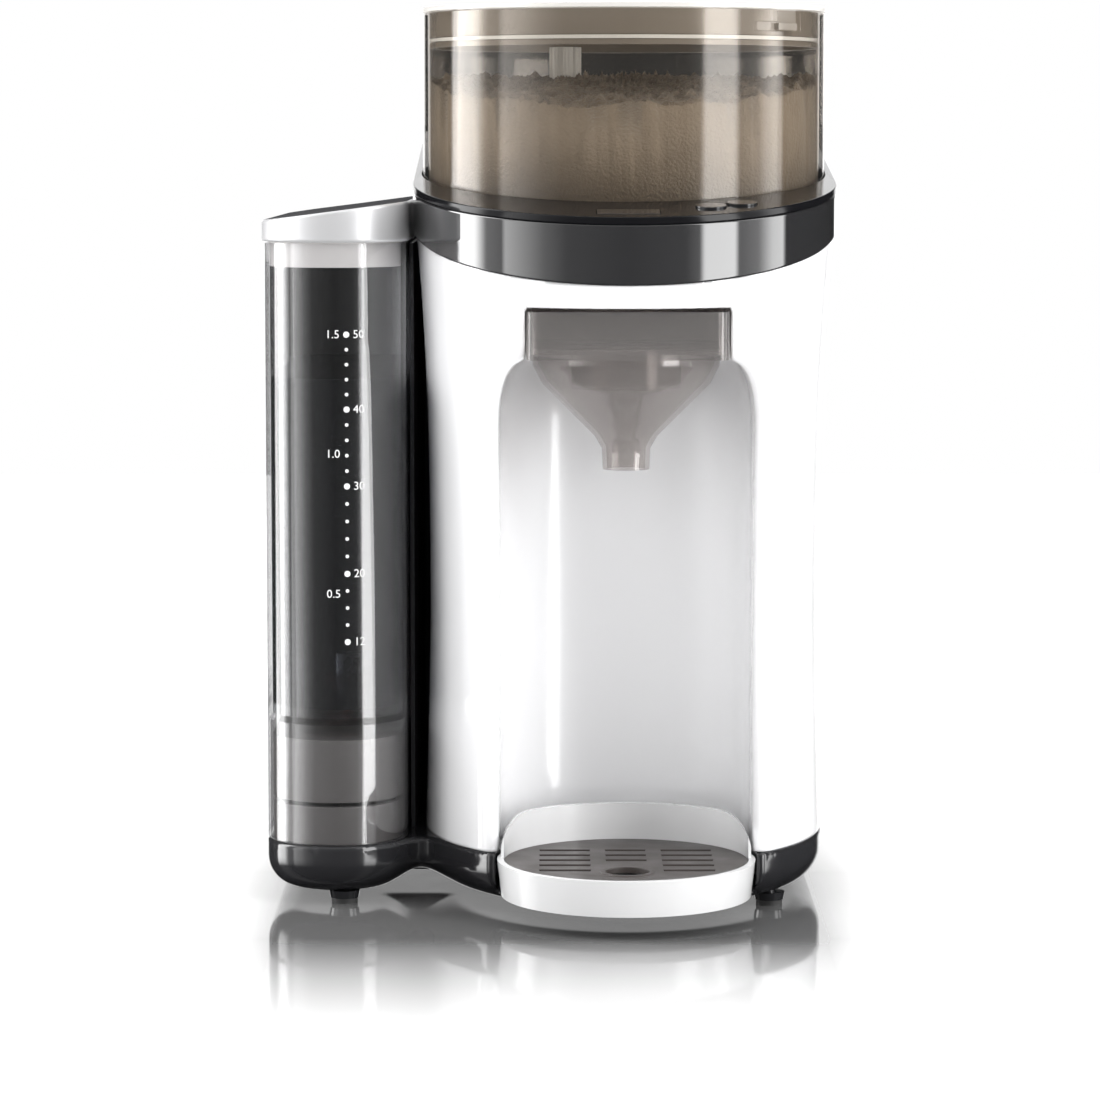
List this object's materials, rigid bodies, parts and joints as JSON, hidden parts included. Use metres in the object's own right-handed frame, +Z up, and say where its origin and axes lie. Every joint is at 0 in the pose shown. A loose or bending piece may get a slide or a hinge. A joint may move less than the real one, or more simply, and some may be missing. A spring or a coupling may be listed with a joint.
{
  "type": "formula dispenser",
  "caption": "Countertop formula dispenser: round powder hopper over a bottle bay with a funnel and drip tray, and a tall lift-off water tank at the side.",
  "frame": {"origin": "on the standing surface, under the middle of the whole machine", "axes": "+Z up, -Y out of the front, +X to the right seen from the front"},
  "size_m": [0.2288, 0.291, 0.3554],
  "materials": {
    "white_shell": "smooth gloss white",
    "dark_base": "dark grey gloss",
    "rear_graphite": "fine matte texture",
    "fascia": "dark metallic gloss",
    "deck_black": "mirror black",
    "window": "tinted display window",
    "button": "gloss black",
    "smoke_clear": "smoke tinted clear",
    "lid_clear": "milky clear",
    "funnel_smoke": "smoke tinted clear",
    "wheel_white": "satin",
    "tray_white": "gloss white",
    "grid_dark": "satin dark taupe",
    "lid_silver": "silver grey gloss",
    "pedestal_grey": "satin light grey",
    "rubber_black": "matte",
    "silicone": "soft translucent",
    "hose": "silicone hose",
    "steel": "brushed",
    "brass": "machined",
    "nylon": "natural nylon",
    "board": "solder mask",
    "motor_steel": "satin",
    "valve_red": "satin"
  },
  "bodies": {
    "machine": {"base_shell": "dark_base", "bottom_plate": "steel", "feet": "dark_base", "foot_pads": "rubber_black", "case_screws": "steel", "front_shell": "white_shell", "rear_cover": "rear_graphite", "tank_panel": "rear_graphite", "fascia_band": "fascia", "top_deck": "deck_black", "display_window": "window", "control_board": "board", "gearbox_plate": "steel", "gear_motor": "motor_steel", "powder_chute": "wheel_white", "water_nozzle": "button", "pedestal_upper": "pedestal_grey", "pedestal_lower": "pedestal_grey", "dock_seal": "rubber_black", "dock_pin": "nylon", "water_pump": "rear_graphite", "pump_motor": "steel", "inlet_hose": "hose", "pump_hose": "hose", "outlet_hose": "hose", "water_heater": "steel", "heater_bracket": "steel", "thermostat": "motor_steel", "power_board": "board", "power_inlet": "rubber_black", "vent_grille": "rear_graphite"},
    "start_button": {"start_button": "button"},
    "menu_button": {"menu_button": "button"},
    "hopper": {"hopper": "smoke_clear"},
    "lid_ring": {"lid_seal": "silicone"},
    "hopper_lid": {"hopper_lid": "lid_clear"},
    "wheel": {"mixing_wheel": "wheel_white", "agitator": "wheel_white"},
    "drive": {"drive_shaft": "steel", "drive_gear": "nylon"},
    "motor_pinion": {"pinion": "brass", "pinion_shaft": "steel"},
    "funnel": {"funnel": "funnel_smoke", "funnel_insert": "funnel_smoke"},
    "tray": {"drip_tray": "tray_white"},
    "grid": {"tray_grid": "grid_dark"},
    "tank": {"water_tank": "smoke_clear", "valve_spring": "steel"},
    "tank_lid": {"tank_lid": "lid_silver", "tank_lid_skirt": "pedestal_grey"},
    "valve": {"tank_valve": "valve_red"}
  },
  "joints": [
    {"name": "start_press", "type": "slide", "parent": "machine", "child": "start_button", "axis": [0, 0.1299, -0.9915], "range_m": [0, 0.0008], "stiffness_N_per_m": 400, "springref_m": -0.0005},
    {"name": "menu_press", "type": "slide", "parent": "machine", "child": "menu_button", "axis": [0, 0.1299, -0.9915], "range_m": [0, 0.0008], "stiffness_N_per_m": 400, "springref_m": -0.0005},
    {"name": "hopper_lift", "type": "slide", "parent": "machine", "child": "hopper", "axis": [0, 0, 1], "range_m": [0, 0.09]},
    {"name": "lid_lift", "type": "slide", "parent": "hopper", "child": "lid_ring", "axis": [0, 0, 1], "range_m": [0, 0.05]},
    {"name": "lid_turn", "type": "hinge", "parent": "lid_ring", "child": "hopper_lid", "pos_m": [0.0298, -0.007, 0.353], "axis": [0, 0, 1], "range_deg": [-8, 0]},
    {"name": "wheel_spin", "type": "hinge", "parent": "hopper", "child": "wheel", "pos_m": [0.0298, -0.007, 0.277], "axis": [0, 0, 1], "continuous": true},
    {"name": "drive_spin", "type": "hinge", "parent": "machine", "child": "drive", "pos_m": [0.0298, -0.007, 0.258], "axis": [0, 0, 1], "continuous": true},
    {"name": "pinion_spin", "type": "hinge", "parent": "machine", "child": "motor_pinion", "pos_m": [0.0298, 0.0322, 0.258], "axis": [0, 0, 1], "continuous": true},
    {"name": "funnel_slide", "type": "slide", "parent": "machine", "child": "funnel", "axis": [0, -1, 0], "range_m": [0, 0.09]},
    {"name": "tray_slide", "type": "slide", "parent": "machine", "child": "tray", "axis": [0, -1, 0], "range_m": [0, 0.06]},
    {"name": "grid_lift", "type": "slide", "parent": "tray", "child": "grid", "axis": [0, 0, 1], "range_m": [0, 0.05]},
    {"name": "tank_lift", "type": "slide", "parent": "machine", "child": "tank", "axis": [0, 0, 1], "range_m": [0, 0.12]},
    {"name": "tank_lid_lift", "type": "slide", "parent": "tank", "child": "tank_lid", "axis": [0, 0, 1], "range_m": [0, 0.06]},
    {"name": "valve_press", "type": "slide", "parent": "tank", "child": "valve", "axis": [0, 0, 1], "range_m": [0, 0.003], "stiffness_N_per_m": 120, "springref_m": -0.002, "deforming": ["valve_spring"]}
  ],
  "couplings": [
    {"joint": "wheel_spin", "follows": "drive_spin", "ratio": 1},
    {"joint": "pinion_spin", "follows": "drive_spin", "ratio": -3.3333}
  ]
}
